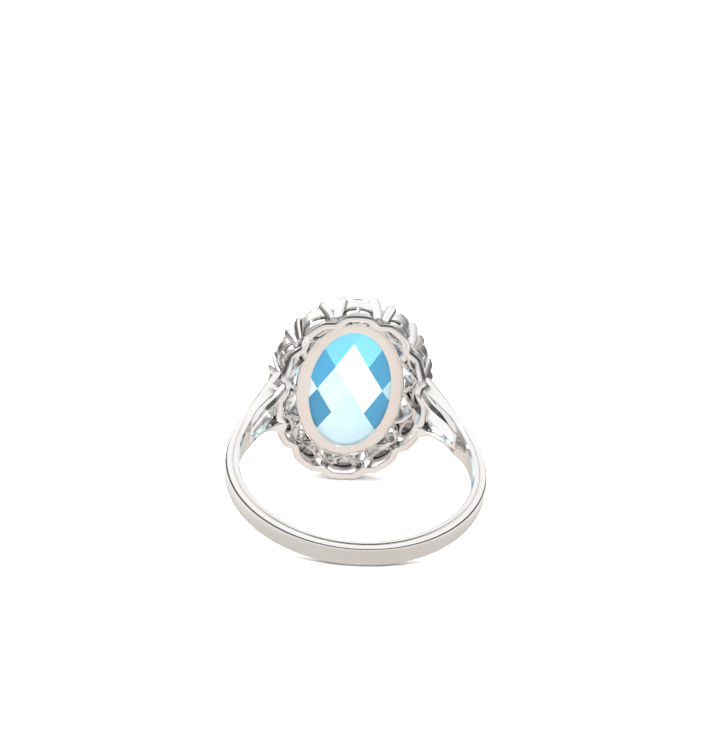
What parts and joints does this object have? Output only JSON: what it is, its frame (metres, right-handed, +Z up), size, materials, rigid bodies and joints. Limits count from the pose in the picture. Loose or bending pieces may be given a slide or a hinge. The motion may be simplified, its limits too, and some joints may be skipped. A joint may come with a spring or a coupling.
{
  "type": "cocktail ring",
  "caption": "Finger ring with a slim band that splits into arms on each side, a scalloped open gallery, an oval centre stone over an oval window, and an oval halo of small oval stones.",
  "frame": {"origin": "centre of the underside of the whole ring's bounding box, on the surface that the ring lies on", "axes": "+X across the head, +Y from the back of the band towards the head, +Z up; the finger axis leans back from +Z by about 21 degrees"},
  "size_m": [0.019, 0.0232, 0.0154],
  "materials": {
    "polished_metal": "polished, rhodium-plated look",
    "plate_metal": "polished, slightly soft",
    "blue_stone": "faceted transparent sky-blue stone",
    "white_stone": "faceted transparent colourless stone"
  },
  "bodies": {
    "root": {"shank": "polished_metal", "gallery_rail": "polished_metal", "window_plate": "plate_metal", "gallery_filigree": "polished_metal", "centre_setting": "polished_metal", "centre_gem": "blue_stone", "halo_collet_01": "polished_metal", "halo_collet_02": "polished_metal", "halo_collet_03": "polished_metal", "halo_collet_04": "polished_metal", "halo_collet_05": "polished_metal", "halo_collet_06": "polished_metal", "halo_collet_07": "polished_metal", "halo_collet_08": "polished_metal", "halo_collet_09": "polished_metal", "halo_collet_10": "polished_metal", "halo_collet_11": "polished_metal", "halo_collet_12": "polished_metal", "halo_stone_01": "white_stone", "halo_stone_02": "white_stone", "halo_stone_03": "white_stone", "halo_stone_04": "white_stone", "halo_stone_05": "white_stone", "halo_stone_06": "white_stone", "halo_stone_07": "white_stone", "halo_stone_08": "white_stone", "halo_stone_09": "white_stone", "halo_stone_10": "white_stone", "halo_stone_11": "white_stone", "halo_stone_12": "white_stone"}
  },
  "joints": []
}
